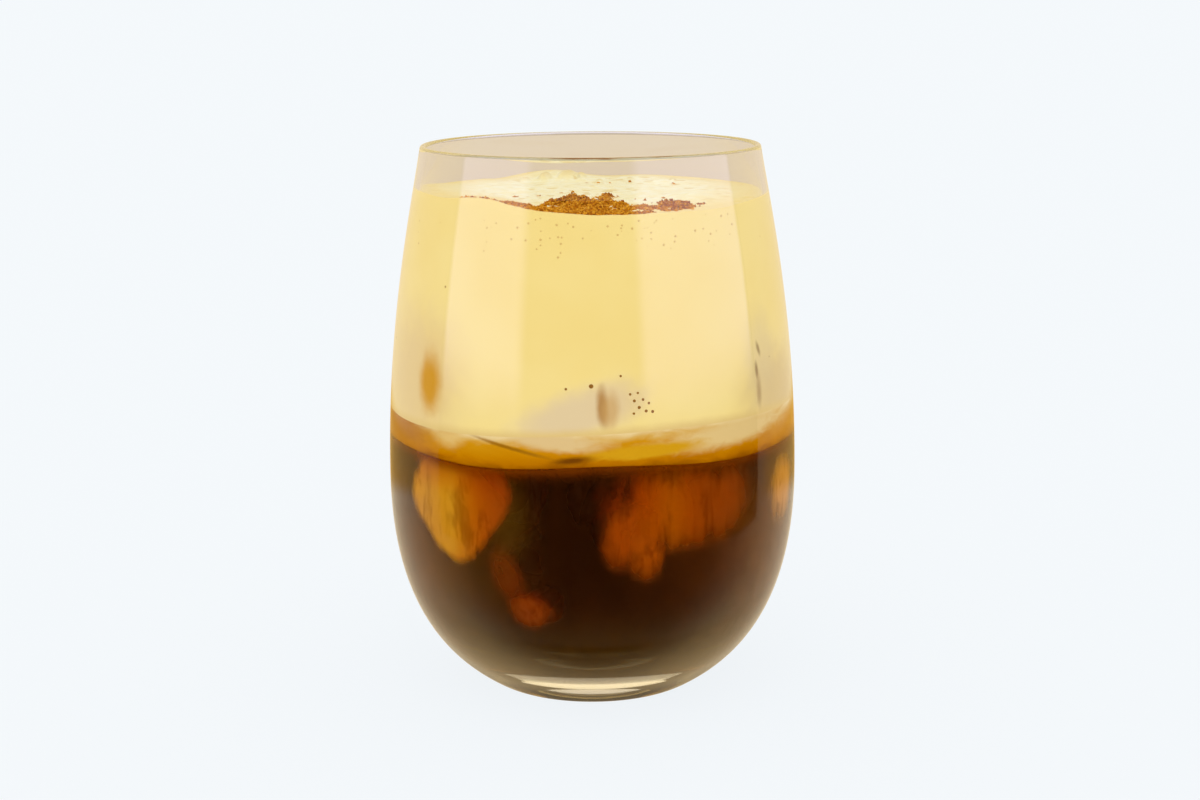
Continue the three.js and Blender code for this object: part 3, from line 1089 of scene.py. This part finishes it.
# angle, height, radius
FRONT_BUBBLES = (
    (0.0, 75.6, 0.5),
    (-6.8, 75.0, 0.3),
    (8.0, 77.6, 0.28),
    (10.5, 73.8, 0.3),
    (11.6, 72.4, 0.35),
    (12.6, 74.0, 0.28),
    (12.9, 71.0, 0.38),
    (14.0, 72.6, 0.32),
    (14.8, 70.2, 0.36),
    (15.6, 71.8, 0.3),
    (16.6, 70.0, 0.36),
    (11.4, 69.8, 0.3),
)
# the scattered ones: how many, from and to angle, from and to height, and the height where most of them are
SMALL_BUBBLES = ((60, -35, 50, 100, 109.5, 109), (60, 60, 320, 68, 109, 108))
SMALL_RADII = (0.12, 0.3)
BUBBLE_FLATNESS = 0.08


def wall_bubbles(draw):
    rows = list(FRONT_BUBBLES)
    for number, first, last, low, high, most in SMALL_BUBBLES:
        for _ in range(number):
            place = draw.uniform(first, last), draw.triangular(low, high, most)
            rows.append((*place, draw.uniform(*SMALL_RADII)))
    return np.array(rows)


rows = wall_bubbles(random.Random(WALL_BUBBLE_SEED))
angles = np.radians(rows[:, 0])
away = wall_radius(rows[:, 1]) - 0.02
centres = np.column_stack([away * np.sin(angles), -away * np.cos(angles), rows[:, 1]])
sizes = np.column_stack([rows[:, 2], np.full(len(rows), BUBBLE_FLATNESS), rows[:, 2]])
turns = np.array([Matrix.Rotation(angle, 3, "Z") for angle in angles])
beads = grains("wall_bubbles", centres, sizes, turns)
bpy.ops.object.select_all(action="DESELECT")
beads.select_set(True)
bpy.context.view_layer.objects.active = beads
bpy.ops.object.mode_set(mode="EDIT")
bpy.ops.mesh.select_all(action="SELECT")
bpy.ops.mesh.subdivide(number_cuts=1, smoothness=1.0)
bpy.ops.object.mode_set(mode="OBJECT")
bead_finish, bead_shader, start = new_finish("bubble")
coords, x, y, z = place_on_piece(start)
feed(z.smooth(90.0, 100.0).blend(tint(152, 104, 44), tint(226, 190, 116)), bead_shader, "Base Color")
set_on(bead_shader, Roughness=0.5, Specular_IOR_Level=0.0)
beads.data.materials.append(bead_finish)
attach(beads, "root")
print("wall bubbles:", len(rows))

# %% [markdown]
# ## Ice
#
# Lumps of ice float in the coffee, close behind the glass. They are cubes with melted edges and hollows.
# The middle of a lump is white with trapped air and its edges are clear, so what shows through the coffee
# is a soft glow, amber where the ice is near and red-brown where it lies deeper. Fine upright cracks
# streak it. The lumps at the back are guessed.

# %% Ice lumps
# angle from the front, height, depth behind the glass, then how much deeper the face lies for each
# millimetre to the left, to the right and upwards, then width, height, thickness, turn, whiteness
FLAT = (0.0, 0.0, 0.0)
ICE = (
    (-42, 50.0, 0.95, (0.0, 0.16, 0.1), 27, 27, 16, 37, 1.0),
    (-45, 56.0, 1.9, (0.0, 0.08, 0.0), 30, 15, 12, 10, 1.0),
    (22.5, 49.5, 2.1, (0.09, 0.07, 0.03), 40, 26, 20, -4, 0.9),
    (36, 48.5, 2.5, FLAT, 30, 23, 16, -10, 0.7),
    (10, 44.0, 2.6, FLAT, 15, 21, 12, 12, 0.85),
    (16.0, 41.0, 2.4, FLAT, 12, 21, 12, 4, 0.85),
    (-25.5, 34.0, 3.1, FLAT, 11, 18, 12, -20, 0.32),
    (-19, 26.3, 2.8, FLAT, 13, 12, 10, 20, 0.65),
    (68, 47.5, 1.0, FLAT, 18, 21, 14, 8, 1.0),
    (122, 46, 1.4, (0.0, 0.05, 0.05), 30, 28, 18, 25, 1.0),
    (172, 48, 1.3, (0.05, 0.05, 0.0), 28, 28, 18, -20, 1.0),
    (-112, 44, 1.6, (0.05, 0.0, 0.05), 32, 28, 18, 15, 1.0),
    (-158, 31, 3.0, FLAT, 14, 14, 10, 30, 0.7),
)
ICE_CUTS = 24
ICE_ROUNDNESS = 0.6
ICE_DENTS = 2.5
ICE_DENT_SIZE = 4.5
# the first lump is the nearest, so its white core is squarer and has a sharper edge
ICE_SQUARE = 4.0
ICE_SHARPNESS = 3.5


def ice_lump(number, angle, height, depth, falls, wide, high, thick, turn, white):
    """A cube melted towards a ball, with dents, kept its depth behind the glass."""
    bpy.ops.object.select_all(action="DESELECT")
    bpy.ops.mesh.primitive_cube_add(size=1.0, location=(0.0, 0.0, 0.0))
    lump = bpy.context.object
    lump.name = "ice_%d" % number
    bpy.ops.object.mode_set(mode="EDIT")
    bpy.ops.mesh.subdivide(number_cuts=ICE_CUTS)
    bpy.ops.object.mode_set(mode="OBJECT")
    ball = lump.modifiers.new("melted", "CAST")
    ball.factor = ICE_ROUNDNESS
    ball.size = 0.5
    bpy.ops.object.modifier_apply(modifier=ball.name)
    corner = points_of(lump) * MM * 2.0
    power, crisp = (ICE_SQUARE, ICE_SHARPNESS) if number == 0 else (2.0, 1.0)
    from_middle = (abs(corner[:, 0]) ** power + abs(corner[:, 2]) ** power) ** (1.0 / power)
    mark(lump, "core", crisp * (1.0 - from_middle))
    mark(lump, "white", np.full(len(corner), white))
    spot = math.radians(angle)
    away = wall_radius(height) - depth - thick / 2
    place = Matrix.Translation((away * math.sin(spot) * MM, -away * math.cos(spot) * MM, height * MM))
    size = Matrix.Diagonal((wide * MM, thick * MM, high * MM, 1.0))
    turned_to = Matrix.Rotation(spot, 4, "Z") @ Matrix.Rotation(math.radians(turn), 4, "Y")
    lump.matrix_world = place @ turned_to @ size
    bpy.ops.object.transform_apply(location=True, rotation=True, scale=True)
    melt = bpy.data.textures.new("melt_%d" % number, "CLOUDS")
    melt.noise_scale = ICE_DENT_SIZE * MM
    melt.noise_depth = 3
    dent = lump.modifiers.new("dents", "DISPLACE")
    dent.texture = melt
    dent.strength = ICE_DENTS * MM
    dent.mid_level = 0.5
    bpy.ops.object.modifier_apply(modifier=dent.name)
    points = points_of(lump)
    reach = np.hypot(points[:, 0], points[:, 1])
    across = (np.arctan2(points[:, 0], -points[:, 1]) - spot) * BELLY_RADIUS
    beyond = [np.maximum(way, 0.0) for way in (-across, across, points[:, 2] - height)]
    gap = depth + sum(fall * way for fall, way in zip(falls, beyond))
    points[:, :2] *= np.minimum(1.0, (wall_radius(points[:, 2]) - gap) / reach)[:, None]
    set_points(lump, points)
    bpy.ops.object.shade_smooth()
    return lump


lumps = [ice_lump(i, *row) for i, row in enumerate(ICE)]
bpy.ops.object.select_all(action="DESELECT")
for lump in lumps:
    lump.select_set(True)
bpy.context.view_layer.objects.active = lumps[0]
bpy.ops.object.join()
ice = bpy.context.object
ice.name = "ice_lumps"
print("ice:", len(ice.data.polygons), "faces in", len(lumps), "lumps")

# %% Finish of the ice
ice_finish, ice_shader, start = new_finish("cloudy ice")
wall = Wall(start, 0.0)
veins = wall.noise(0.16, detail=4.0, stretch=(1.0, 1.0, 0.5), distortion=0.4)
cracks = wall.noise(0.45, detail=4.0, stretch=(1.0, 1.0, 0.3), distortion=0.6)
white = (veins + cracks).smooth(-0.3, 0.05).blend((0.6, 0.55, 0.5, 1.0), (0.99, 0.98, 0.96, 1.0))
feed(white, ice_shader, "Base Color")
cloudy = (marked(start, "core") + 0.35 * veins + 0.25 * cracks).smooth(0.1, 0.75)
feed(cloudy * marked(start, "white"), ice_shader, "Alpha")
set_on(ice_shader, Roughness=0.5, Specular_IOR_Level=0.0)
ice.data.materials.append(ice_finish)
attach(ice, "root")
print("ice finished")
